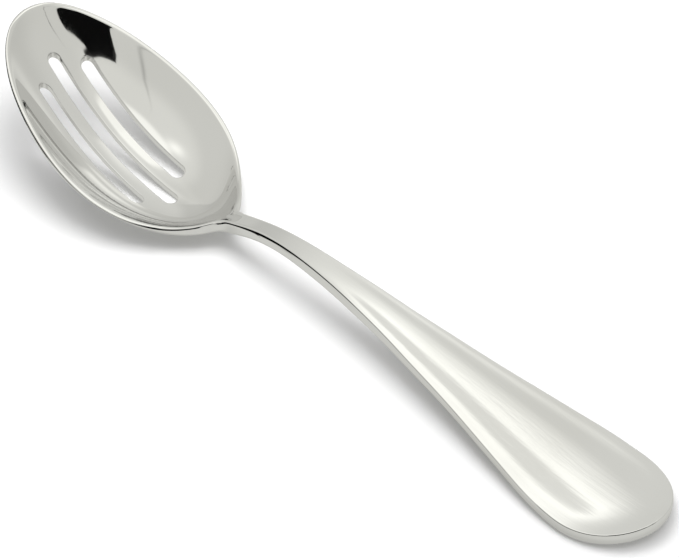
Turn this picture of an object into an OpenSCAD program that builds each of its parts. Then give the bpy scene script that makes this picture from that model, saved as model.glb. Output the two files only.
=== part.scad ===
// Slotted serving spoon: an egg-shaped bowl with three long slots, a slim
// neck that rises out of the heel of the bowl, and a handle that arches over,
// flares and ends in a broad rounded end that turns up a little.
// The spoon lies as it rests on a table. +X runs from the tip of the bowl to
// the end of the handle, +Z is up, and the origin is on the table under the
// middle of the spoon. Distances along the spoon are first taken from the tip.

/* [Overall] */
// Length of the whole spoon, from the tip of the bowl to the end of the handle
spoon_l = 230; // [215:1:245]

/* [Bowl] */
// Length of the bowl, from its tip to where the neck begins
bowl_l = 78.4; // [72:0.2:86]
// Width of the bowl at its widest
bowl_w = 51; // [46:0.5:56]
// Depth of the bowl below its rim, at its deepest
bowl_depth = 11.5; // [9:0.5:13]
// Height of the bowl's tip above the table
tip_h = 34.5; // [30:0.5:38]
// Thickness of the bowl's metal
bowl_t = 1.6; // [1.2:0.1:2.2]
// Width of the flat rim around the bowl
rim_w = 1.2; // [0.8:0.1:1.8]
// Height of the rim's outer edge
rim_h = 1.3; // [1:0.1:2]

/* [Slots] */
// Width of each slot
slot_w = 4; // [3:0.1:4.6]
// Distance between the middles of neighbouring slots
slot_pitch = 7.8; // [6.5:0.1:8.5]
// Length of the middle slot, over its round ends
slot_mid_l = 48.4; // [40:0.2:50]
// Length of the two outer slots, over their round ends
slot_side_l = 38.6; // [30:0.2:40]

/* [Neck and handle] */
// Width of the neck at its slimmest
neck_w = 5.5; // [4.8:0.1:6.5]
// Height of the neck's side face
neck_t = 3.5; // [3:0.1:4.2]
// Width of the handle at its widest
handle_w = 34; // [28:0.5:38]
// Height of the handle's side face at the broad end
handle_t = 3.1; // [2.6:0.1:3.6]
// Height of the arch of the handle, at its upper edge
arch_h = 15.8; // [14:0.2:18]

/* [Hidden] */

steel = [0.80, 0.80, 0.79];

handle_l = spoon_l - bowl_l;      // from the end of the bowl to the handle's end
join_x = bowl_l + 1.2;            // where the bowl meets the neck
flare_x = bowl_l + 0.34 * handle_l; // where the neck meets the handle
end_a = 20;                       // length of the handle's rounded end
round_x = spoon_l - end_a;        // where the rounded end begins
mid_c = 0.58 * bowl_l;            // point that the bowl's rings close on
hollow_n = 2.18;                  // how square the bowl's cross-section is

// Each table below is a list of [place, value] pairs. In the bowl a place is a
// share of the bowl's length, and behind it a share of the handle's length.

// Fullness of the bowl's outline: 1 all along would be an ellipse
full_tab = [[0, 0.95], [0.2, 0.955], [0.4, 0.982], [0.6, 1.01], [0.7, 1.004],
            [0.8, 0.955], [0.9, 0.84], [1, 0.725]];
// Height of the rim, as a share of the tip's height
rim_tab = [[0, 1], [0.1, 0.88], [0.2, 0.775], [0.3, 0.678], [0.4, 0.582],
           [0.5, 0.492], [0.6, 0.408], [0.7, 0.33], [0.8, 0.258], [0.9, 0.224],
           [1, 0.285]];
// Height of the handle's upper edge above the table, in millimetres, for an
// arch of 15.8: the arch, the fall to the table and the turned-up end
arch_tab = [[0.06, 13.2], [0.14, 15.6], [0.22, 15.8], [0.34, 14.4], [0.47, 11.8],
            [0.6, 9.1], [0.73, 6.2], [0.83, 4.2], [0.89, 3.7], [0.95, 4.6], [1, 6.5]];
// Depth of the hollow below the rim, as a share of the bowl's depth
deep_tab = [[0, 0], [0.016, 0], [0.05, 0.17], [0.1, 0.34], [0.2, 0.645], [0.3, 0.87],
            [0.4, 0.985], [0.5, 0.995], [0.6, 0.93], [0.7, 0.81], [0.8, 0.63],
            [0.9, 0.37], [0.95, 0.205], [1, 0.07]];
deep_back = [[0.016, 0.02], [0.04, 0], [0.3, 0], [1, 0]];
// Height of the handle's top over its edge, as a share of its half width, from
// the middle line (0) to the edge (1): soft ridge, falling panels, flat border
crown_tab = [[0, 0.0496], [0.12, 0.0484], [0.24, 0.0449], [0.36, 0.0381], [0.45, 0.0304], [0.55, 0.0207],
             [0.64, 0.0121], [0.7, 0.0076], [0.76, 0.0045], [0.82, 0.0026], [0.9, 0.0014], [1, 0]];
// Half width of the neck and handle, as a share of the handle's widest half
half_tab = [[0, 0.175], [0.04, 0.166], [0.09, 0.162], [0.14, 0.168], [0.21, 0.197],
            [0.28, 0.243], [0.34, 0.3], [0.41, 0.37], [0.47, 0.45], [0.54, 0.54],
            [0.61, 0.643], [0.67, 0.744], [0.74, 0.86], [0.8, 0.957], [0.84, 0.99],
            [0.87, 1], [1, 1]];
// Height of the side face along the neck and handle, as a share of neck_t at
// the neck and of handle_t at the broad end
side_tab = [[0, 1.1], [0.06, 1.04], [0.14, 1], [0.27, 1], [0.4, 0.86], [0.57, 0.7],
            [0.73, 0.68], [0.83, 0.76]];
side_end = [[0.89, 0.95], [0.95, 0.98], [1, 1]];

function clamp(v, lo, hi) = min(max(v, lo), hi);
function seg(t, x, i = 0) = (i >= len(t) - 2 || x < t[i + 1][0]) ? i : seg(t, x, i + 1);
function run(t, i, j) = (t[j][1] - t[i][1]) / (t[j][0] - t[i][0]);
function steep(t, i) = i == 0 ? run(t, 0, 1)
    : i == len(t) - 1 ? run(t, i - 1, i) : run(t, i - 1, i + 1);
// Smooth curve through a table's points
function curve(t, x) = let(
    xx = clamp(x, t[0][0], t[len(t) - 1][0]), i = seg(t, xx),
    h = t[i + 1][0] - t[i][0], s = (xx - t[i][0]) / h,
    m0 = steep(t, i) * h, m1 = steep(t, i + 1) * h)
    (2 * s * s * s - 3 * s * s + 1) * t[i][1] + (s * s * s - 2 * s * s + s) * m0
    + (3 * s * s - 2 * s * s * s) * t[i + 1][1] + (s * s * s - s * s) * m1;

function at_bowl(t, k) = [for (p = t) [p[0] * bowl_l, p[1] * k]];
function at_handle(t, k) = [for (p = t) [bowl_l + p[0] * handle_l, p[1] * k]];

edge_line = concat(at_bowl(rim_tab, tip_h), at_handle(arch_tab, arch_h / 15.8));
deep_line = concat(at_bowl(deep_tab, bowl_depth), at_handle(deep_back, bowl_depth));
half_line = at_handle(half_tab, handle_w / 2);
neck_share = neck_w / (2 * 0.162 * handle_w / 2); // slims only the neck
side_line = concat([[0, rim_h], [0.86 * bowl_l, rim_h]],
    at_handle(side_tab, neck_t), at_handle(side_end, handle_t));

// Height of the upper edge, and depth of the hollow, at a distance x
function edge_z(x) = curve(edge_line, x);
function deep(x) = max(0, curve(deep_line, x));
// Half width of the bowl alone, and of the neck and handle alone
function bowl_y(x) = let(u = clamp(x / bowl_l, 0, 1))
    sqrt(u * (1 - u)) * bowl_w * curve(full_tab, u);
function shaft_y(x) = let(v = clamp((x - bowl_l) / handle_l, 0, 1))
    curve(half_line, x) * (1 + (neck_share - 1) * pow(max(0, 1 - v / 0.5), 2));
// The bowl's outline drawn in by the rim's width
function inner_y(x) = bowl_y(bowl_l * (x - rim_w) / (bowl_l - 2 * rim_w)) * (1 - 2 * rim_w / bowl_w);
function half_y(x) = x < bowl_l ? max(bowl_y(x), shaft_y(bowl_l)) : shaft_y(x);
function hollow_y(x) = max(0.01, x < bowl_l ? max(inner_y(x), shaft_y(bowl_l) - 0.9) : shaft_y(x) - 0.9);

// The hollow of the bowl, which runs out along the top of the neck
function hollow(x, y) = deep(x) * (1 - pow(min(1, abs(y) / hollow_y(x)), hollow_n));
// 0 on the middle line of the handle, 1 at its edge and around its rounded end
function end_r(x, y) = min(1, sqrt(pow(y / shaft_y(x), 2) + pow(max(0, (x - round_x) / end_a), 2)));
// Top of the handle: it grows out of the flat neck into a soft middle ridge,
// two long falling panels and a flatter border
function relief(x, y) = let(s = clamp(((x - bowl_l) / handle_l - 0.169) / 0.2375, 0, 1))
    x < bowl_l ? 0 : s * s * s * (s * (6 * s - 15) + 10) * curve(crown_tab, end_r(x, y)) * shaft_y(x);
function top_z(x, y) = edge_z(x) - hollow(x, y) + relief(x, y);

// Height of the side face, and depth of the underside's middle below the edge
function side_h(x) = curve(side_line, x);
function wall(x) = bowl_t * (1 + 0.5 * pow(max(0, 1 - x / (0.45 * bowl_l)), 2));
function under(x) = let(a = deep(x) + wall(x), b = side_h(x) + 0.5,
    k = clamp((x / bowl_l - 0.86) / 0.14, 0, 1), q = k * k * (3 - 2 * k))
    max(side_h(x) + 0.2, a * (1 - q) + b * q);
function bottom_z(x, y) = edge_z(x) - side_h(x) - (under(x) - side_h(x))
    * (1 - pow(min(1, abs(y) / half_y(x)), hollow_n));

// ---- outline of the bowl, tip to neck, on the +Y side ----
rim_n = 34;
back_th = 165;
back_u = (1 - cos(back_th)) / 2;
p1 = [back_u * bowl_l, bowl_y(back_u * bowl_l)];
p3 = [join_x, shaft_y(join_x)];
p2 = [bowl_l, shaft_y(bowl_l)];
rim_half = [for (i = [0:rim_n]) let(u = (1 - cos(back_th * i / rim_n)) / 2)
    [u * bowl_l, bowl_y(u * bowl_l)]];
corner = [for (t = [1/3, 2/3, 1]) (1 - t) * (1 - t) * p1 + 2 * t * (1 - t) * p2 + t * t * p3];
across = [for (r = [0.75, 0.5, 0.25, 0]) [join_x, r * p3[1]]];
out_half = concat(rim_half, corner, across);
// The same line drawn in by the rim's width
in_half = concat(
    [for (p = rim_half) [rim_w + p[0] * (bowl_l - 2 * rim_w) / bowl_l, p[1] * (1 - 2 * rim_w / bowl_w)]],
    [for (p = corner) [p[0] - rim_w, max(1, p[1] - 0.9)]],
    [for (p = across) [join_x - rim_w, p[1] * 0.7]]);
function closed(h) = concat(h, [for (i = [len(h) - 2:-1:1]) [h[i][0], -h[i][1]]]);
outer = closed(out_half);
inner = closed(in_half);
ring_n = len(outer);
shrink = [1, 0.93, 0.84, 0.74, 0.64, 0.54, 0.44, 0.34, 0.24, 0.12];
rings = concat([outer], [for (s = shrink) [for (p = inner) [mid_c + (p[0] - mid_c) * s, p[1] * s]]]);

// Points of the bowl: every ring on top, the middle, then the same below
bowl_flat = [for (g = rings) for (p = g) p];
bowl_top = concat([for (p = bowl_flat) [p[0], p[1], top_z(p[0], p[1])]],
    [[mid_c, 0, top_z(mid_c, 0)]]);
bowl_under = concat([for (p = bowl_flat) [p[0], p[1], bottom_z(p[0], p[1])]],
    [[mid_c, 0, bottom_z(mid_c, 0)]]);
bowl_pts = concat(bowl_top, bowl_under);
bowl_m = len(bowl_top);
low_z = min([for (p = bowl_under) p[2]]);   // the bowl's resting point

// Rings run clockwise seen from above
function ring_faces(k, base, up) = [for (i = [0:ring_n - 1]) let(
    j = (i + 1) % ring_n, a = base + k * ring_n + i, b = base + k * ring_n + j,
    c = base + (k + 1) * ring_n + j, d = base + (k + 1) * ring_n + i)
    each (up ? [[a, b, c], [a, c, d]] : [[a, c, b], [a, d, c]])];
bowl_faces = concat(
    [for (k = [0:len(rings) - 2]) each ring_faces(k, 0, true)],
    [for (i = [0:ring_n - 1]) [(len(rings) - 1) * ring_n + i,
        (len(rings) - 1) * ring_n + (i + 1) % ring_n, bowl_m - 1]],
    [for (k = [0:len(rings) - 2]) each ring_faces(k, bowl_m, false)],
    [for (i = [0:ring_n - 1]) [bowl_m + (len(rings) - 1) * ring_n + (i + 1) % ring_n,
        bowl_m + (len(rings) - 1) * ring_n + i, 2 * bowl_m - 1]],
    [for (i = [0:ring_n - 1]) let(j = (i + 1) % ring_n)
        each [[i, bowl_m + i, bowl_m + j], [i, bowl_m + j, j]]]);

// ---- neck and handle: rows of points across, one row after another ----
// across runs from -1 to 1 over the width; row runs from 0 to 1 along
function strip_x(x0, x1, s, r, rounded) = rounded
    ? x0 + s * (round_x + end_a * sqrt(max(0, 1 - r * r)) - x0) : x0 + s * (x1 - x0);
function strip_pt(x0, x1, s, r, rounded) = let(x = strip_x(x0, x1, s, r, rounded))
    [x, r * shaft_y(x)];
module strip(x0, x1, rows, rs, rounded) {
    nr = len(rs);
    flat = [for (k = [0:rows]) for (r = rs) strip_pt(x0, x1, k / rows, r, rounded)];
    top = [for (p = flat) [p[0], p[1], top_z(p[0], p[1])]];
    under = [for (p = flat) [p[0], p[1], bottom_z(p[0], p[1])]];
    m = len(flat);
    function q(k, i) = k * nr + i;
    polyhedron(points = concat(top, under), faces = concat(
        [for (k = [0:rows - 1]) for (i = [0:nr - 2])
            each [[q(k, i), q(k, i + 1), q(k + 1, i + 1)], [q(k, i), q(k + 1, i + 1), q(k + 1, i)]]],
        [for (k = [0:rows - 1]) for (i = [0:nr - 2])
            each [[m + q(k, i), m + q(k + 1, i + 1), m + q(k, i + 1)], [m + q(k, i), m + q(k + 1, i), m + q(k + 1, i + 1)]]],
        [for (k = [0:rows - 1]) each [[q(k, 0), q(k + 1, 0), m + q(k + 1, 0)], [q(k, 0), m + q(k + 1, 0), m + q(k, 0)]]],
        [for (k = [0:rows - 1]) each [[q(k, nr - 1), m + q(k + 1, nr - 1), q(k + 1, nr - 1)],
            [q(k, nr - 1), m + q(k, nr - 1), m + q(k + 1, nr - 1)]]],
        [for (i = [0:nr - 2]) each [[q(0, i), m + q(0, i + 1), q(0, i + 1)], [q(0, i), m + q(0, i), m + q(0, i + 1)]]],
        [for (i = [0:nr - 2]) each [[q(rows, i), q(rows, i + 1), m + q(rows, i + 1)],
            [q(rows, i), m + q(rows, i + 1), m + q(rows, i)]]]));
}

// From distances along the spoon to the resting frame
module rest() translate([-spoon_l / 2, 0, -low_z]) children();

// One slot, cut straight down in three runs between four round punches
module slot(mid_x, l, y) {
    d = (l - slot_w) / 3;
    for (i = [0:2])
        hull() for (e = [0, 1])
            translate([mid_x - (l - slot_w) / 2 + (i + e) * d, y, -10])
                cylinder(d = slot_w, h = 60, $fn = 32);
}

// The bowl, with its three slots and its flat rim
module bowl() color(steel) rest() difference() {
    polyhedron(points = bowl_pts, faces = bowl_faces, convexity = 6);
    slot(0.4356 * bowl_l, slot_mid_l, 0);
    slot(0.4336 * bowl_l, slot_side_l, slot_pitch);
    slot(0.4336 * bowl_l, slot_side_l, -slot_pitch);
}

// The slim neck, from the bowl's heel to where the handle starts to flare
module neck() color(steel) rest()
    strip(join_x, flare_x, 20, [for (i = [-12:12]) sin(90 * i / 12)], false);

// The arched handle with its broad, rounded, slightly turned-up end
module handle() color(steel) rest()
    strip(flare_x, spoon_l, 30, [for (i = [-12:12]) sin(90 * i / 12)], true);

bowl();
neck();
handle();
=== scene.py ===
"""Slotted serving spoon: one piece of polished steel on a pale floor, seen as in the photograph.

The surface is computed from tables that give the same rim line, hollow, outline and side height as the CAD solids.
Lengths below are in millimetres from the tip of the bowl until they are put into the shared frame, in metres.
"""

import math

import bpy
import numpy as np
from mathutils import Matrix, Vector
from mathutils.geometry import delaunay_2d_cdt


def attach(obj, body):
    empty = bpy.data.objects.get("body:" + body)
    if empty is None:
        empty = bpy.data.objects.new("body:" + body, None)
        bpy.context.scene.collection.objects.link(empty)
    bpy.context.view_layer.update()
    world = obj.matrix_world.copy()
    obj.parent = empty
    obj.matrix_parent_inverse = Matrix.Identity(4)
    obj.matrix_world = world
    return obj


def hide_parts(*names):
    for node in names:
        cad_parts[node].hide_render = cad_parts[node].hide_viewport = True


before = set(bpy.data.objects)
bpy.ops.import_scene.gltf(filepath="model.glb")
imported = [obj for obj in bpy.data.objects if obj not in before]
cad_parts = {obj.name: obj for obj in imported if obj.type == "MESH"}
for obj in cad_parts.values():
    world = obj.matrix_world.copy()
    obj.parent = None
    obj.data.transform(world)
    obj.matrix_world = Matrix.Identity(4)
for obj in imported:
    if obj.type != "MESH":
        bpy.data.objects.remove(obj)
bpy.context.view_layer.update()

# ---------------------------------------------------------------- shape tables
SPOON_L, BOWL_L, BOWL_W, BOWL_DEPTH, TIP_H = 230.0, 78.4, 51.0, 11.5, 34.5
BOWL_T, RIM_W, RIM_H = 1.6, 1.2, 1.3
SLOT_W, SLOT_PITCH, SLOT_MID_L, SLOT_SIDE_L = 4.0, 7.8, 48.4, 38.6
NECK_W, NECK_T, HANDLE_W, HANDLE_T = 5.5, 3.5, 34.0, 3.1
HANDLE_L = SPOON_L - BOWL_L
JOIN_X, END_A = BOWL_L + 1.2, 20.0
ROUND_X = SPOON_L - END_A
HOLLOW_N = 2.18
LOW_Z = 0.004

FULL = [(0, 0.95), (0.2, 0.955), (0.4, 0.982), (0.6, 1.01), (0.7, 1.004), (0.8, 0.955), (0.9, 0.84), (1, 0.725)]
RIM = [(0, 1), (0.1, 0.88), (0.2, 0.775), (0.3, 0.678), (0.4, 0.582), (0.5, 0.492), (0.6, 0.408), (0.7, 0.33),
       (0.8, 0.258), (0.9, 0.224), (1, 0.285)]
ARCH = [(0.06, 13.2), (0.14, 15.6), (0.22, 15.8), (0.34, 14.4), (0.47, 11.8), (0.6, 9.1), (0.73, 6.2), (0.83, 4.2),
        (0.89, 3.7), (0.95, 4.6), (1, 6.5)]
DEEP = [(0, -0.07), (0.016, 0), (0.05, 0.17), (0.1, 0.34), (0.2, 0.645), (0.3, 0.87), (0.4, 0.985), (0.5, 0.995),
        (0.6, 0.93), (0.7, 0.81), (0.8, 0.63), (0.9, 0.37), (0.95, 0.205), (1, 0.07)]
DEEP_BACK = [(0.016, 0.02), (0.04, 0), (0.12, 0), (0.3, 0), (1, 0)]
HALF = [(0, 0.175), (0.04, 0.166), (0.09, 0.162), (0.14, 0.168), (0.21, 0.197), (0.28, 0.243), (0.34, 0.3),
        (0.41, 0.37), (0.47, 0.45), (0.54, 0.54), (0.61, 0.643), (0.67, 0.744), (0.74, 0.86), (0.8, 0.957),
        (0.84, 0.99), (0.87, 1), (1, 1)]
SIDE = [(0, 1.1), (0.06, 1.04), (0.14, 1), (0.27, 1), (0.4, 0.86), (0.57, 0.7), (0.73, 0.68), (0.83, 0.76)]
SIDE_END = [(0.89, 0.95), (0.95, 0.98), (1, 1.0)]

GRID = np.arange(-14.0, 246.0, 0.05)


def natural(pts, x):
    """Natural cubic spline through the points, carried on straight past its ends."""
    xk, yk = np.array(pts, float).T
    n, h = len(xk), np.diff(xk)
    a, r = np.zeros((n, n)), np.zeros(n)
    a[0, 0] = a[-1, -1] = 1
    for i in range(1, n - 1):
        a[i, i - 1 : i + 2] = h[i - 1], 2 * (h[i - 1] + h[i]), h[i]
        r[i] = 6 * ((yk[i + 1] - yk[i]) / h[i] - (yk[i] - yk[i - 1]) / h[i - 1])
    m = np.linalg.solve(a, r)
    xc = np.clip(x, xk[0], xk[-1])
    i = np.clip(np.searchsorted(xk, xc, side="right") - 1, 0, n - 2)
    p, q, w = xk[i + 1] - xc, xc - xk[i], h[i]
    y = (m[i] * p**3 + m[i + 1] * q**3) / (6 * w) + (yk[i] / w - m[i] * w / 6) * p + (yk[i + 1] / w - m[i + 1] * w / 6) * q
    s0 = (yk[1] - yk[0]) / h[0] - h[0] * m[1] / 6
    s1 = (yk[-1] - yk[-2]) / h[-1] + h[-1] * m[-2] / 6
    return y + np.where(x < xk[0], (x - xk[0]) * s0, 0) + np.where(x > xk[-1], (x - xk[-1]) * s1, 0)


def smooth(vals, sigma):
    """The sampled curve with ripples shorter than sigma taken out."""
    n = int(4 * sigma / 0.05)
    k = np.exp(-0.5 * (np.arange(-n, n + 1) * 0.05 / sigma) ** 2)
    left = vals[0] + (vals[1] - vals[0]) * np.arange(-n, 0)
    right = vals[-1] + (vals[-1] - vals[-2]) * np.arange(1, n + 1)
    return np.convolve(np.concatenate([left, vals, right]), k / k.sum(), mode="valid")


def step(a, b, x):
    s = np.clip((x - a) / (b - a), 0, 1)
    return s * s * s * (s * (6 * s - 15) + 10)


def on_bowl(t, k):
    return [(u * BOWL_L, v * k) for u, v in t]


def on_handle(t, k):
    return [(BOWL_L + u * HANDLE_L, v * k) for u, v in t]


EDGE = smooth(natural(on_bowl(RIM, TIP_H) + on_handle(ARCH, 1), GRID), 3.0)
DEPTH = smooth(natural(on_bowl(DEEP, BOWL_DEPTH) + on_handle(DEEP_BACK, BOWL_DEPTH), GRID), 1.2) * (1 - step(80.5, 84.5, GRID))
FULLNESS = smooth(natural(on_bowl(FULL, 1), GRID), 2.0)
NECK_SHARE = NECK_W / (2 * 0.162 * HANDLE_W / 2)
BACK = np.clip((GRID - BOWL_L) / HANDLE_L, 0, 1)
SHAFT = smooth(natural(on_handle(HALF, HANDLE_W / 2), np.maximum(GRID, BOWL_L)) * (1 + (NECK_SHARE - 1) * np.maximum(0, 1 - BACK / 0.5) ** 2), 2.5)
SIDE_H = smooth(natural([(-10, RIM_H), (0, RIM_H), (0.5 * BOWL_L, RIM_H), (0.84 * BOWL_L, RIM_H * 1.02)] + on_handle(SIDE, NECK_T) + on_handle(SIDE_END, HANDLE_T), GRID), 2.5)


def read(curve, x):
    return np.interp(x, GRID, curve)


def bowl_y(x):
    u = np.clip(x / BOWL_L, 0, 1)
    return np.sqrt(u * (1 - u)) * BOWL_W * read(FULLNESS, x)


_inner = bowl_y(BOWL_L * (GRID - RIM_W) / (BOWL_L - 2 * RIM_W)) * (1 - 2 * RIM_W / BOWL_W)
_shaft_in = np.maximum(read(SHAFT, GRID) - 0.9, 1.2)
_both = 0.5 * (_inner + _shaft_in + np.sqrt((_inner - _shaft_in) ** 2 + 0.6))
_mix = step(60, 68, GRID)
HOLLOW_Y = np.maximum(_inner * (1 - _mix) + smooth(_both, 0.8) * _mix, 0.01)
_wall = BOWL_T * (1 + 0.5 * np.maximum(0, 1 - GRID / (0.45 * BOWL_L)) ** 2)
_q = step(0.84, 1.02, GRID / BOWL_L)
UNDER = smooth(np.maximum(SIDE_H + 0.2, (np.maximum(DEPTH, 0) + _wall) * (1 - _q) + (SIDE_H + 0.5) * _q), 1.5)
WIDE = smooth(np.maximum(np.maximum(bowl_y(GRID), 0), read(SHAFT, np.maximum(GRID, BOWL_L))), 0.5)


def hollow(x, y):
    """Depth of the bowl's hollow below the rim, with a softly rounded inner edge."""
    d = read(DEPTH, x)
    t = np.abs(y) / read(HOLLOW_Y, x)
    w = np.where(x < RIM_W + 0.02, -0.73 * np.abs(RIM_W + 0.05 - x) - 0.3 * np.abs(y), np.maximum(d, 0) * (1 - np.minimum(t, 6) ** HOLLOW_N))
    eps = 0.34 * np.clip(d / 1.5, 0, 1)
    return 0.5 * (w + np.sqrt(w * w + eps * eps))


def end_r(x, y):
    """0 on the middle line of the handle, 1 at its edge and around its rounded end."""
    return np.sqrt((y / read(SHAFT, x)) ** 2 + np.maximum(0, (x - ROUND_X) / END_A) ** 2)


# Outward fall of the handle's top, in degrees, from its middle line (0) to its edge (1)
FALL = [(0, 0), (0.12, 1.1), (0.24, 2.3), (0.36, 4.2), (0.45, 5.5), (0.6, 5.7), (0.66, 4.6), (0.72, 3.0), (0.78, 2.1), (0.83, 0.9),
        (0.9, 0.7), (1, 0.9)]
_r = np.linspace(0, 1, 2001)
_fall = np.tan(np.radians(np.interp(_r, *np.array(FALL).T)))
_kern = np.exp(-0.5 * (np.arange(-120, 121) / 35.0) ** 2)
_fall = np.convolve(np.concatenate([-_fall[120:0:-1], _fall, np.full(120, _fall[-1])]), _kern / _kern.sum(), mode="valid")
CROWN = np.concatenate([[0], np.cumsum(0.5 * (_fall[1:] + _fall[:-1]) * (_r[1] - _r[0]))])
CROWN = CROWN[-1] - CROWN                        # height over the edge for a half width of 1


FAR_FALL = np.tan(np.radians(3.2)) * np.cumsum(step(0.76, 0.9, _r)) * (_r[1] - _r[0])


def relief(x, y):
    """Soft middle ridge, two long falling panels and a border that runs round the end and falls more on the far side."""
    k = step(104.0, 140.0, x)
    r = np.minimum(end_r(x, y), 1)
    return k * (np.interp(r, _r, CROWN) - step(0, 7, y) * np.interp(r, _r, FAR_FALL)) * read(SHAFT, x)


def top_z(x, y):
    return read(EDGE, x) - hollow(x, y) + relief(x, y)


def bottom_z(x, y):
    s = read(SIDE_H, x)
    t = np.minimum(1, np.abs(y) / np.maximum(read(WIDE, x), 0.05))
    return read(EDGE, x) - s - (read(UNDER, x) - s) * (1 - t**HOLLOW_N)


# ---------------------------------------------------------------- outline seen from above
def closed_smooth(p, sigma, gap):
    """A closed line, resampled evenly and with corners sharper than sigma eased."""
    q = np.vstack([p, p[:1]])
    s = np.concatenate([[0], np.cumsum(np.hypot(*np.diff(q, axis=0).T))])
    n = int(s[-1] / 0.1)
    t = np.linspace(0, s[-1], n, endpoint=False)
    xy = np.stack([np.interp(t, s, q[:, 0]), np.interp(t, s, q[:, 1])], 1)
    m = int(4 * sigma / 0.1)
    k = np.exp(-0.5 * (np.arange(-m, m + 1) * 0.1 / sigma) ** 2)
    k /= k.sum()
    pad = np.vstack([xy[-m:], xy, xy[:m]])
    xy = np.stack([np.convolve(pad[:, i], k, mode="valid") for i in (0, 1)], 1)
    q = np.vstack([xy, xy[:1]])
    s = np.concatenate([[0], np.cumsum(np.hypot(*np.diff(q, axis=0).T))])
    n = int(round(s[-1] / gap))
    t = np.linspace(0, s[-1], n, endpoint=False)
    return np.stack([np.interp(t, s, q[:, 0]), np.interp(t, s, q[:, 1])], 1)


def normals_2d(p):
    """Unit normals of a closed line that runs anticlockwise, pointing outward."""
    d = np.roll(p, -1, 0) - np.roll(p, 1, 0)
    n = np.stack([d[:, 1], -d[:, 0]], 1)
    return n / np.linalg.norm(n, axis=1)[:, None]


th = np.radians(np.linspace(0, 165, 500))
ub = (1 - np.cos(th)) / 2
half = [np.stack([ub * BOWL_L, bowl_y(ub * BOWL_L)], 1)]
c1, c2, c3 = half[0][-1], np.array([BOWL_L, read(SHAFT, BOWL_L)]), np.array([JOIN_X + 1.5, read(SHAFT, JOIN_X + 1.5)])
tt = np.linspace(0, 1, 40)[1:, None]
half.append((1 - tt) ** 2 * c1 + 2 * tt * (1 - tt) * c2 + tt**2 * c3)
xs = np.linspace(JOIN_X + 1.5, ROUND_X, 900)[1:]
half.append(np.stack([xs, read(SHAFT, xs)], 1))
te = np.linspace(0, math.pi / 2, 200)[1:]
yr = float(read(SHAFT, ROUND_X))
half.append(np.stack([ROUND_X + END_A * np.sin(te), yr * np.cos(te)], 1))
half = np.vstack(half)                       # tip to the handle's end, on the +y side
ring = np.vstack([half, (half * [1, -1])[-2:0:-1]])
outline = closed_smooth(ring[::-1], 0.9, 0.6)  # anticlockwise


def stadium(mid, length, y, gap=0.4):
    r, a = SLOT_W / 2, (length - SLOT_W) / 2
    arc = np.linspace(-math.pi / 2, math.pi / 2, 17)
    right = np.stack([mid + a + r * np.cos(arc), y + r * np.sin(arc)], 1)
    left = np.stack([mid - a - r * np.cos(arc), y - r * np.sin(arc)], 1)
    return closed_smooth(np.vstack([right, left]), 0.12, gap)


slots = [stadium(0.4356 * BOWL_L, SLOT_MID_L, 0.0),
         stadium(0.4336 * BOWL_L, SLOT_SIDE_L, SLOT_PITCH),
         stadium(0.4336 * BOWL_L, SLOT_SIDE_L, -SLOT_PITCH)]

# ---------------------------------------------------------------- the mesh
# Rings run in from the outline and out from each slot; between them the plan is triangulated.
RINGS = np.array([0.34, 0.5, 0.7, 0.88, 1.02, 1.14, 1.26, 1.4, 1.58, 1.85, 2.25, 2.8, 3.5])
SLOT_RINGS = np.array([0.26, 0.4, 0.6, 0.9])
plan, faces = [], []


def add(pts):
    base = sum(len(p) for p in plan)
    plan.append(np.asarray(pts, float))
    return np.arange(base, base + len(pts))


def band(a, b):
    """Quads between two rings of the same length, anticlockwise with ring a outside ring b."""
    a2, b2 = np.roll(a, -1), np.roll(b, -1)
    faces.extend(np.stack([a, a2, b2, b], 1).tolist())


nrm = normals_2d(outline)
lead = np.interp(outline[:, 0], [0, 20, 34, 54, 62, 76, 80, 88, 96, 108, 130, 200, 230],
                 [0.95, 0.95, 0.62, 0.62, 0.8, 0.8, 0.95, 1.1, 0.8, 0.48, 0.32, 0.3, 0.36])
room = np.where(outline[:, 0] < 74, 1.0, np.clip((read(SHAFT, outline[:, 0]) - lead - 0.6) / 3.2, 0.4, 1.6))
for i in np.flatnonzero((outline[:, 0] >= 70) & (outline[:, 0] < 80)):
    room[i] = min(room[i], 0.5)
for _ in range(30):
    room = (np.roll(room, 1) + room + np.roll(room, -1)) / 3
out_rings = [add(outline - nrm * (lead + (d - RINGS[0]) * room)[:, None]) for d in RINGS]
for a, b in zip(out_rings, out_rings[1:]):
    band(a, b)
slot_rings, slot_n = [], []
for s in slots:
    n = normals_2d(s)
    slot_n.append(n)
    rr = [add(s + n * d) for d in SLOT_RINGS]
    for a, b in zip(rr[::-1], rr[::-1][1:]):
        band(a, b)
    slot_rings.append(rr)

xy = np.vstack(plan)
last = [out_rings[-1]] + [r[-1] for r in slot_rings]


def inside(poly, q):
    """Which points of q lie inside the closed line."""
    hit = np.zeros(len(q), bool)
    a, b = poly, np.roll(poly, -1, 0)
    for (x0, y0), (x1, y1) in zip(a, b):
        if y0 == y1:
            continue
        cross = (y0 > q[:, 1]) != (y1 > q[:, 1])
        hit ^= cross & (q[:, 0] < (x1 - x0) * (q[:, 1] - y0) / (y1 - y0) + x0)
    return hit


def near(poly, q, d):
    out = np.zeros(len(q), bool)
    for p in poly:
        out |= (q[:, 0] - p[0]) ** 2 + (q[:, 1] - p[1]) ** 2 < d * d
    return out


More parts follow.
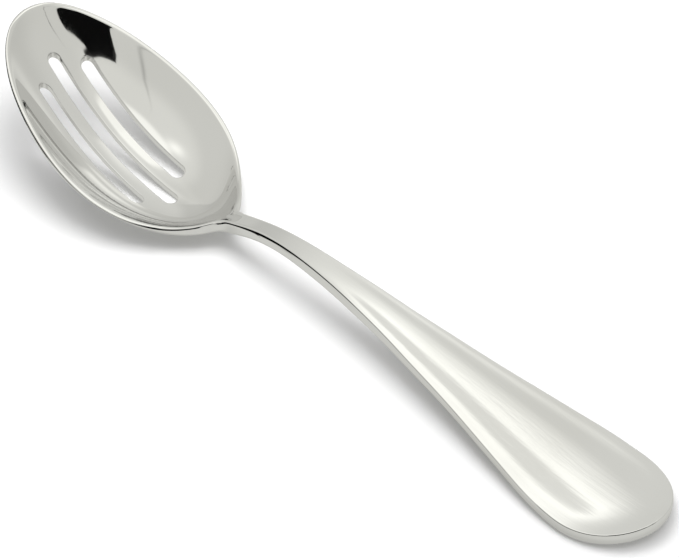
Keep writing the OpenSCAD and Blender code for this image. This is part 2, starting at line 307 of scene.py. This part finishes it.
GAP = 0.85
gx, gy = np.meshgrid(np.arange(2, 229, GAP), np.arange(-26, 26.01, GAP * 0.866), indexing="ij")
gx = gx + (np.arange(gx.shape[1]) % 2) * GAP / 2
pts = np.stack([gx.ravel(), gy.ravel()], 1)
pts = pts[inside(xy[last[0]], pts)]
pts = pts[~near(xy[last[0]], pts, 0.55)]
for r in last[1:]:
    pts = pts[~inside(xy[r], pts)]
    pts = pts[~near(xy[r], pts, 0.5)]
mid_ids = add(pts)
ids = np.concatenate(last + [mid_ids])
xy = np.vstack(plan)
edges, at = [], 0
for r in last:
    n = len(r)
    edges += [(at + i, at + (i + 1) % n) for i in range(n)]
    at += n
got = delaunay_2d_cdt([Vector(p) for p in xy[ids].tolist()], edges, [], 0, 1e-5, True)
assert len(got[0]) == len(ids), "the triangulation added points"
back = [o[0] for o in got[3]]
tri = np.array([[ids[back[i]] for i in f] for f in got[2]])
cen = xy[tri].mean(1)
keep = inside(xy[last[0]], cen)
for r in last[1:]:
    keep &= ~inside(xy[r], cen)
tri = tri[keep]
e1, e2 = xy[tri[:, 1]] - xy[tri[:, 0]], xy[tri[:, 2]] - xy[tri[:, 0]]
flip = e1[:, 0] * e2[:, 1] - e1[:, 1] * e2[:, 0] < 0
tri[flip] = tri[flip][:, ::-1]
faces.extend(tri.tolist())

count = len(xy)
X, Y = xy.T


def surface_normals(fn, sign):
    hx, hy = 0.15, 0.06
    dx = (fn(X + hx, Y) - fn(X - hx, Y)) / (2 * hx)
    dy = (fn(X, Y + hy) - fn(X, Y - hy)) / (2 * hy)
    n = np.stack([-dx * sign, -dy * sign, np.full(count, float(sign))], 1)
    return n / np.linalg.norm(n, axis=1)[:, None]


points = [np.stack([X, Y, top_z(X, Y)], 1), np.stack([X, Y, bottom_z(X, Y)], 1)]
normals = [surface_normals(top_z, 1), surface_normals(bottom_z, -1)]
all_faces = [list(f) for f in faces] + [[count + i for i in reversed(f)] for f in faces]
total = 2 * count


def edge_wall(line, out, ring_ids, lead, reach, bulge):
    """Rounded top edge, side face and rounded lower edge along a closed line. out points away from the metal."""
    global total
    n = len(line)
    zt, zb = top_z(*line.T), bottom_z(*line.T)
    a_t = np.stack([*(line - out * lead[:, None]).T, np.zeros(n)], 1)
    a_b = a_t.copy()
    a_t[:, 2], a_b[:, 2] = top_z(*a_t[:, :2].T), bottom_z(*a_b[:, :2].T)
    # the corner is where the top surface, carried on in its own slope, meets the side
    h = 0.05
    inner = line - out * (lead + h)[:, None]
    st = (a_t[:, 2] - top_z(*inner.T)) / h
    sb = (a_b[:, 2] - bottom_z(*inner.T)) / h
    ct = np.stack([*line.T, a_t[:, 2] + st * lead], 1)
    cb = np.stack([*line.T, a_b[:, 2] + sb * lead], 1)
    deep_side = ct[:, 2] - cb[:, 2]
    drop = np.minimum(reach, 0.45 * deep_side)
    b_t = ct - np.stack([0 * drop, 0 * drop, drop], 1)
    b_b = cb + np.stack([0 * drop, 0 * drop, drop], 1)
    rows = []
    for t in np.linspace(0, 1, 8)[1:]:
        rows.append((1 - t) ** 2 * a_t + 2 * t * (1 - t) * ct + t * t * b_t)
    for t in (0.25, 0.5, 0.75):
        rows.append(b_t + (b_b - b_t) * t)
    for t in np.linspace(1, 0, 8)[:-1]:
        rows.append((1 - t) ** 2 * a_b + 2 * t * (1 - t) * cb + t * t * b_b)
    grid = np.stack([a_t] + rows + [a_b])
    # the side swells outward a little between its two rounded edges
    s = np.clip((ct[None, :, 2] - grid[:, :, 2]) / deep_side[None, :], 0, 1)
    swell = (bulge * deep_side)[None, :] * np.sin(math.pi * s) ** 2
    grid[1:-1, :, :2] += (out[None] * swell[:, :, None])[1:-1]
    d_row = np.gradient(grid, axis=0)
    d_col = np.roll(grid, -1, 1) - np.roll(grid, 1, 1)
    nn = np.cross(d_col, d_row)
    nn /= np.linalg.norm(nn, axis=2)[:, :, None]
    if (nn[len(rows) // 2, :, :2] * out).sum() < 0:
        nn = -nn
    base = total
    points.append(grid[1:-1].reshape(-1, 3))
    normals.append(nn[1:-1].reshape(-1, 3))
    total += (len(grid) - 2) * n
    ids = [ring_ids] + [base + k * n + np.arange(n) for k in range(len(grid) - 2)] + [ring_ids + count]
    out_faces = []
    for a, b in zip(ids, ids[1:]):
        out_faces.extend(np.stack([a, b, np.roll(b, -1), np.roll(a, -1)], 1).tolist())
    # faces look away from the metal
    f = out_faces[len(out_faces) // 2]
    p = np.vstack(points)
    fn = np.cross(p[f[1]] - p[f[0]], p[f[2]] - p[f[0]])
    i = int(np.argmin(np.abs(line - p[f[0]][:2]).sum(1)))
    if (fn[:2] * out[i]).sum() < 0:
        out_faces = [g[::-1] for g in out_faces]
    all_faces.extend(out_faces)


edge_wall(outline, nrm, out_rings[0], lead, lead * 1.1, np.interp(outline[:, 0], [70, 95, 230], [0.0, 0.035, 0.035]))
for s, n, rr in zip(slots, slot_n, slot_rings):
    edge_wall(s, -n, rr[0], np.full(len(s), SLOT_RINGS[0]), np.full(len(s), 0.28), np.zeros(len(s)))

P, N = np.vstack(points), np.vstack(normals)
P = (P - [SPOON_L / 2, 0, LOW_Z]) / 1000
mesh = bpy.data.meshes.new("spoon")
mesh.from_pydata(P.tolist(), [], all_faces)
mesh.update()
mesh.shade_smooth()
mesh.normals_split_custom_set_from_vertices(N.tolist())
spoon = bpy.data.objects.new("spoon", mesh)
bpy.context.scene.collection.objects.link(spoon)
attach(spoon, "root")
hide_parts("bowl", "neck", "handle")


# ---------------------------------------------------------------- material
def node(tree, kind, **values):
    n = tree.nodes.new(kind)
    for k, v in values.items():
        setattr(n, k, v)
    return n


def polished_steel():
    m = bpy.data.materials.new("polished_steel")
    m.use_nodes = True
    t = m.node_tree
    t.nodes.clear()
    out = node(t, "ShaderNodeOutputMaterial")
    bsdf = node(t, "ShaderNodeBsdfPrincipled")
    bsdf.inputs["Metallic"].default_value = 1.0
    bsdf.inputs["IOR"].default_value = 2.5
    t.links.new(bsdf.outputs["BSDF"], out.inputs["Surface"])
    place = node(t, "ShaderNodeTexCoord")

    def noise(scale_xyz, scale, detail, rough):
        mp = node(t, "ShaderNodeMapping")
        mp.inputs["Scale"].default_value = scale_xyz
        t.links.new(place.outputs["Object"], mp.inputs["Vector"])
        n = node(t, "ShaderNodeTexNoise")
        n.inputs["Scale"].default_value = scale
        n.inputs["Detail"].default_value = detail
        n.inputs["Roughness"].default_value = rough
        t.links.new(mp.outputs["Vector"], n.inputs["Vector"])
        return n.outputs["Fac"]

    def span(value, lo, hi, to_lo, to_hi):
        n = node(t, "ShaderNodeMapRange")
        for k, v in (("From Min", lo), ("From Max", hi), ("To Min", to_lo), ("To Max", to_hi)):
            n.inputs[k].default_value = v
        t.links.new(value, n.inputs["Value"])
        return n.outputs["Result"]

    def add_up(a, b):
        n = node(t, "ShaderNodeMath", operation="ADD")
        t.links.new(a, n.inputs[0])
        t.links.new(b, n.inputs[1])
        return n.outputs["Value"]

    lines = noise((6, 150, 150), 16, 4, 0.6)        # fine polishing lines along the spoon
    haze = noise((1, 1.6, 1.6), 55, 3, 0.5)         # where the buffing left a softer shine
    cloud = noise((1, 1, 1), 22, 2, 0.4)
    rough = add_up(span(lines, 0.3, 0.75, 0.0, 0.025), span(haze, 0.35, 0.7, 0.02, 0.05))
    t.links.new(rough, bsdf.inputs["Roughness"])
    mix = node(t, "ShaderNodeMix", data_type="RGBA")
    mix.inputs["A"].default_value = (0.80, 0.80, 0.80, 1)
    mix.inputs["B"].default_value = (0.76, 0.757, 0.75, 1)
    t.links.new(span(cloud, 0.35, 0.65, 0, 1), mix.inputs["Factor"])
    t.links.new(mix.outputs["Result"], bsdf.inputs["Base Color"])
    bump = node(t, "ShaderNodeBump")
    bump.inputs["Strength"].default_value = 0.2
    part = node(t, "ShaderNodeSeparateXYZ")
    t.links.new(place.outputs["Object"], part.inputs["Vector"])

    def times(a, b):
        n = node(t, "ShaderNodeMath", operation="MULTIPLY")
        t.links.new(a, n.inputs[0])
        t.links.new(b, n.inputs[1])
        return n.outputs["Value"]

    # the deepest polishing lines run along the middle of the handle
    middle = times(span(part.outputs["Y"], -0.0045, -0.0015, 0, 1), span(part.outputs["Y"], 0.0005, 0.0035, 1, 0))
    middle = times(middle, span(part.outputs["X"], 0.03, 0.06, 0, 0.00016))
    t.links.new(add_up(span(part.outputs["X"], -0.04, 0.03, 0.000003, 0.00007), middle), bump.inputs["Distance"])
    t.links.new(noise((1.2, 55, 55), 16, 5, 0.62), bump.inputs["Height"])
    t.links.new(bump.outputs["Normal"], bsdf.inputs["Normal"])
    return m


mesh.materials.append(polished_steel())


def plain(name, color, rough):
    m = bpy.data.materials.new(name)
    m.use_nodes = True
    b = m.node_tree.nodes["Principled BSDF"]
    b.inputs["Base Color"].default_value = (*color, 1)
    b.inputs["Roughness"].default_value = rough
    b.inputs["Specular IOR Level"].default_value = 0.0
    return m


# ---------------------------------------------------------------- floor, light, camera
def sheet_of(name, pts, mat):
    me = bpy.data.meshes.new(name)
    me.from_pydata(pts, [], [list(range(len(pts)))])
    me.materials.append(mat)
    o = bpy.data.objects.new(name, me)
    bpy.context.scene.collection.objects.link(o)
    return o


floor = sheet_of("floor", [(4 * math.cos(a), 4 * math.sin(a), 0.0) for a in np.linspace(0, 2 * math.pi, 65)[:-1]],
                 plain("floor", (0.90, 0.90, 0.90), 0.9))
floor.visible_glossy = False

world = bpy.data.worlds.new("studio")
bpy.context.scene.world = world
world.use_nodes = True
wt = world.node_tree
wt.nodes["Background"].inputs["Color"].default_value = (0.56, 0.56, 0.562, 1)
wt.nodes["Background"].inputs["Strength"].default_value = 1.0


def glow_material(name, color=None):
    """An emitting cloth or card that is seen only in the steel; its glow is painted light, standing in for lit cloth or
    a dark card.
    """
    m = bpy.data.materials.new(name)
    m.use_nodes = True
    t = m.node_tree
    t.nodes.clear()
    out, em = node(t, "ShaderNodeOutputMaterial"), node(t, "ShaderNodeEmission")
    if color is None:
        at = node(t, "ShaderNodeAttribute", attribute_name="light")
        t.links.new(at.outputs["Color"], em.inputs["Color"])
    else:
        em.inputs["Color"].default_value = (*color, 1)
    t.links.new(em.outputs["Emission"], out.inputs["Surface"])
    return m


def only_reflected(o):
    o.visible_camera = o.visible_diffuse = o.visible_transmission = o.visible_volume_scatter = o.visible_shadow = False


def lin(v):
    """Light that polished steel gives back as the screen value v."""
    return (np.asarray(v) / 255.0) ** 2.2 / 0.79


def bump_at(v, mid, wide):
    return np.exp(-(((v - mid) / wide) ** 2))


TENT_R = 0.45


def tent_light(az, el):
    """Painted light of the cloth tent around the spoon, as a screen value: how bright the lit cloth looks in the steel.
    """
    x, y, z = np.cos(np.radians(az)) * np.cos(np.radians(el)), np.sin(np.radians(az)) * np.cos(np.radians(el)), np.sin(np.radians(el))
    far = step(80, 95, az) * (1 - step(150, 165, az))
    v = 190 + 9 * step(10, 45, el) + 13 * step(52, 66, el) - 13 * (1 - step(8, 17, el)) * (1 - 0.9 * far) + 5 * step(15, 22, el) * far
    # painted light: a bright patch low on the far side of the cloth
    v = v + 22 * bump_at(az, 100, 11) * bump_at(el, 11, 6)
    psi = np.degrees(np.arctan2(z, y))
    # the lamp's pool on the roof, and the lamp's hottest spot
    c = np.degrees(np.arccos(np.clip(-0.015 * x + 0.173 * y + 0.985 * z, -1, 1)))
    v = v + 34 * (1 - step(16.5, 22, c)) * step(67, 70, psi)
    c = np.degrees(np.arccos(np.clip(-0.29 * x - 0.129 * y + 0.948 * z, -1, 1)))
    v = v + 44 * np.exp(-((c / 4.5) ** 2))
    # a long strip of light beside the spoon, parallel to it
    strip = np.interp(psi, [43, 45, 47, 49, 51, 53, 55, 57, 59, 60.5, 62, 63, 64, 65, 67],
                      [0, 0.04, 0.13, 0.26, 0.38, 0.5, 0.62, 0.77, 0.92, 0.97, 0.9, 0.65, 0.38, 0.12, 0])
    along = np.interp(x, [-0.7, -0.58, -0.46, -0.37, -0.3, -0.24, -0.06, 0.0], [0, 0.12, 0.32, 0.5, 0.78, 1, 1, 0])
    v = v + (263 - v) * strip * along
    # painted shade: softer and darker stretches of the cloth, and a dark fold
    foot = np.interp(az, [-180, 135, 150, 157, 165, 171, 180], [22, 42, 41, 38, 29, 25, 22])
    v = v - 14 * step(134, 146, az) * (1 - step(foot - 1.5, foot + 1.0, el)) * step(14, 22, el)
    v = v - 3 * bump_at(az, 60, 28) * (1 - step(20, 42, el)) - 10 * bump_at(az, 141, 7) * bump_at(el, 44, 5)
    fold = np.interp(el, [40, 57, 63.4, 71], [-71, -73.4, -78.8, -88.7])
    v = v - 36 * bump_at(az, fold, 1.3) * bump_at(el, 54, 12)
    # painted dark: the open front, down to the table, and the table far off to the left; elsewhere painted shade on a
    # darker foot
    top = np.interp(az, [-152, -114, -104, -100, -24], [28, 28, 12, -2, -2])
    front = step(-156, -146, az) * (1 - step(-34, -24, az)) * (1 - step(top - 3, top + 2, el))
    left = np.maximum(step(150, 160, az), 1 - step(-160, -150, az)) * (1 - step(-2, 1, el))
    v = v * (1 - 0.95 * np.maximum(front, left))
    v = v * (1 - 0.3 * (1 - step(2, 8, el)) * (1 - far))
    return v


# the tent, seen only in the steel, glows with the painted light above
n_az, n_el = 361, 96
taz, tel = np.meshgrid(np.linspace(-180, 180, n_az), np.linspace(-3, 90, n_el), indexing="ij")
ta, te_ = np.radians(taz), np.radians(tel)
tp = np.stack([np.cos(ta) * np.cos(te_), np.sin(ta) * np.cos(te_), np.sin(te_)], -1) * TENT_R
ti = np.arange(n_az * n_el).reshape(n_az, n_el)
tf = np.stack([ti[:-1, :-1], ti[1:, :-1], ti[1:, 1:], ti[:-1, 1:]], -1).reshape(-1, 4)
tent_mesh = bpy.data.meshes.new("tent")
tent_mesh.from_pydata(tp.reshape(-1, 3).tolist(), [], tf.tolist())
glow = lin(tent_light(taz, tel)).ravel()
att = tent_mesh.color_attributes.new("light", "FLOAT_COLOR", "POINT")
att.data.foreach_set("color", np.stack([glow * 1.0, glow * 1.0, glow * 0.94, np.ones_like(glow)], 1).ravel().astype(np.float32))
cloth = glow_material("painted_reflection_glow")
tent_mesh.materials.append(cloth)
tent = bpy.data.objects.new("tent", tent_mesh)
bpy.context.scene.collection.objects.link(tent)
only_reflected(tent)

# the table as the steel shows it, in painted light and shadow: pale beside the spoon, dark under it in painted shadow,
# and dark far off to the front and left
mx, my = np.meshgrid(np.arange(-0.3, 0.3001, 0.0025), np.arange(-0.25, 0.2501, 0.0025), indexing="ij")
spot = np.stack([mx.ravel() * 1000 + SPOON_L / 2, my.ravel() * 1000], 1)
away = np.full(len(spot), 1e9)
for q in outline[::3]:
    away = np.minimum(away, ((spot - q) ** 2).sum(1))
away = np.sqrt(away) * np.where(inside(outline, spot), -1, 1)
side = np.degrees(np.arctan2(my.ravel(), mx.ravel()))
reach = 2 + 1.05 * read(EDGE, np.clip(spot[:, 0], 0, SPOON_L)) + 28 * np.maximum(step(95, 125, side), 1 - step(-165, -150, side))
dim = np.maximum(step(146, 160, side), 1 - step(-112, -100, side)) * step(0, 5, away - reach)
behind = step(70, 90, spot[:, 0])
# painted shadow: darker close round the spoon and under its handle, and the dim stretches darker still
shade = lin((172 + 26 * step(-2, 7, away) + (24 - 60 * behind) * step(0, 12, -away)) * (1 - 0.93 * dim))
mi = np.arange(mx.size).reshape(mx.shape)
mirror_mesh = bpy.data.meshes.new("table_in_steel")
mirror_mesh.from_pydata(np.stack([mx.ravel(), my.ravel(), np.full(mx.size, 0.00001)], 1).tolist(), [],
                        np.stack([mi[:-1, :-1], mi[1:, :-1], mi[1:, 1:], mi[:-1, 1:]], -1).reshape(-1, 4).tolist())
att = mirror_mesh.color_attributes.new("light", "FLOAT_COLOR", "POINT")
att.data.foreach_set("color", np.stack([shade, shade, shade * 0.94, np.ones_like(shade)], 1).ravel().astype(np.float32))
mirror_mesh.materials.append(cloth)
table = bpy.data.objects.new("table_in_steel", mirror_mesh)
bpy.context.scene.collection.objects.link(table)
only_reflected(table)


def on_tent(az, el, rad):
    a, e = math.radians(az), math.radians(el)
    return (rad * math.cos(a) * math.cos(e), rad * math.sin(a) * math.cos(e), rad * math.sin(e))


def cloth_band(name, rows, mat):
    """A strip just inside the tent's cloth; each row is (azimuth, low elevation, high elevation)."""
    az, lo, hi = np.array(rows, float).T
    fine = np.linspace(az[0], az[-1], 60)
    lo, hi = np.interp(fine, az, lo), np.interp(fine, az, hi)
    n = 12
    pts = [on_tent(a, l + (h - l) * k / n, TENT_R - 0.001) for a, l, h in zip(fine, lo, hi) for k in range(n + 1)]
    me = bpy.data.meshes.new(name)
    me.from_pydata(pts, [], [(i * (n + 1) + k, (i + 1) * (n + 1) + k, (i + 1) * (n + 1) + k + 1, i * (n + 1) + k + 1)
                             for i in range(len(fine) - 1) for k in range(n)])
    me.materials.append(mat)
    o = bpy.data.objects.new(name, me)
    bpy.context.scene.collection.objects.link(o)
    only_reflected(o)


# black paints dark reflections: the tent's open front and the black cards by the rim
black = glow_material("painted_dark_reflection", (0.004, 0.004, 0.004))
grey = glow_material("seam", (0.06, 0.06, 0.06))
cloth_band("opening", [(-51.0, 22, 50), (-50.2, 22, 56), (-45.5, 22, 59.8), (-31, 22, 60.6), (-12, 22, 61.2), (-6, 22, 61), (-4.5, 22, 57.6),
                       (3, 22, 55.8), (4, 22, 55.6), (6.5, 44, 55.2), (9.2, 50, 54.8), (10.8, 54, 54.5)], black)
cloth_band("opening_notch", [(-5.5, 58.2, 61), (5, 58.4, 60.3)], black)
cloth_band("seam_far", [(22.2, 29.1, 30.4), (23.8, 37.1, 38.4), (27.5, 44.5, 45.8), (32.2, 51.9, 52.8)], grey)


def flag(name, pick, key, off, low, high):
    """A black card close to the rim, seen only in the steel: a painted dark reflection that draws the rim's dark outer
    line.
    """
    at = np.flatnonzero(pick)
    at = at[np.argsort(key[at])]
    q = outline[at] + nrm[at] * off
    z = read(EDGE, outline[at][:, 0])
    n = len(at)
    pts = [((x - SPOON_L / 2) / 1000, y / 1000, (h + dz) / 1000) for dz in (low, high) for (x, y), h in zip(q, z)]
    me = bpy.data.meshes.new(name)
    me.from_pydata(pts, [], [(i, i + 1, n + i + 1, n + i) for i in range(n - 1)])
    me.materials.append(black)
    o = bpy.data.objects.new(name, me)
    bpy.context.scene.collection.objects.link(o)
    only_reflected(o)


flag("flag_tip", (outline[:, 0] < 30) & (outline[:, 1] < -3), -outline[:, 1], 8.0, -12.0, 4.0)
card = bpy.data.meshes.new("tip_dark_reflection")      # a black card on the table left of the tip, seen only in the steel: a painted dark reflection along the rim's side there
card.from_pydata([(x / 1000, y / 1000, 0.0003) for x, y in
                  [(-126, 9), (-124, -12), (-112, -25), (-150, -66), (-185, -50), (-185, 0), (-160, 9)]], [], [tuple(range(7))])
card.materials.append(black)
tip_dark_reflection = bpy.data.objects.new("tip_dark_reflection", card)
bpy.context.scene.collection.objects.link(tip_dark_reflection)
only_reflected(tip_dark_reflection)
flag("flag_heel", (outline[:, 0] > 52) & (outline[:, 0] < 75.5) & (outline[:, 1] < 0), outline[:, 0], 10.0, -6.5, 4.5)
flag("flag_end", (outline[:, 0] > 200) & (outline[:, 1] < 2), outline[:, 0] + outline[:, 1], 9.0, -3.0, 4.0)


sun_data = bpy.data.lights.new("lamp", "AREA")
sun_data.shape = "DISK"
sun_data.size = 0.24
sun_data.energy = 0.56
sun = bpy.data.objects.new("lamp", sun_data)
sun.location = (-0.047, 0.0035, 0.35)
sun.rotation_euler = Vector((-0.08, -0.01, -1.0)).to_track_quat("-Z", "Y").to_euler()
sun.visible_glossy = sun.visible_camera = False
bpy.context.scene.collection.objects.link(sun)

wide_data = bpy.data.lights.new("lamp_cloth", "SUN")
wide_data.energy = 1.1
wide_data.angle = math.radians(64)
wide = bpy.data.objects.new("lamp_cloth", wide_data)
wide.rotation_euler = Vector((0.04, -0.03, -1.0)).to_track_quat("-Z", "Y").to_euler()
wide.visible_glossy = False
bpy.context.scene.collection.objects.link(wide)

# a pale wall far behind everything, for the low views
wall_n = 64
wall_pts = [(3.9 * math.cos(a), 3.9 * math.sin(a), z) for z in (0.0, 6.0) for a in np.linspace(0, 2 * math.pi, wall_n + 1)[:-1]]
wall_mesh = bpy.data.meshes.new("backdrop")
wall_mesh.from_pydata(wall_pts, [], [(i, (i + 1) % wall_n, wall_n + (i + 1) % wall_n, wall_n + i) for i in range(wall_n)])
wall_mesh.materials.append(glow_material("backdrop", (0.95, 0.95, 0.95)))
wall = bpy.data.objects.new("backdrop", wall_mesh)
bpy.context.scene.collection.objects.link(wall)
wall.visible_diffuse = wall.visible_glossy = wall.visible_shadow = False


# the photograph's camera: found from the spoon's outline and slots
AZ, EL, ROLL, FOCAL = -0.727348, 0.748955, 0.0524165, 4643.87
SHIFT_X, SHIFT_Y, DIST = -11.016, 2.788, 1.21407
d = Vector((math.sin(AZ) * math.cos(EL), math.cos(AZ) * math.cos(EL), -math.sin(EL)))
r = Vector((math.cos(AZ), -math.sin(AZ), 0.0))
u = r.cross(d)
r2 = math.cos(ROLL) * r + math.sin(ROLL) * u
u2 = -math.sin(ROLL) * r + math.cos(ROLL) * u
v = Vector((SHIFT_X / FOCAL, -SHIFT_Y / FOCAL, 1.0)).normalized()
target = Vector((0.0, 0.0, 0.0104545))
where = target - DIST * (v[0] * r2 + v[1] * u2 + v[2] * d)
cam_data = bpy.data.cameras.new("camera")
cam_data.sensor_fit = "HORIZONTAL"
cam_data.sensor_width = 36.0
cam_data.lens = FOCAL * 36.0 / 679.0
cam_data.clip_start = 0.01
cam = bpy.data.objects.new("camera", cam_data)
cam.matrix_world = Matrix.Translation(where) @ Matrix((r2, u2, -d)).transposed().to_4x4()
bpy.context.scene.collection.objects.link(cam)
bpy.context.scene.camera = cam

bpy.context.scene.view_settings.view_transform = "Standard"
bpy.context.scene.view_settings.look = "None"
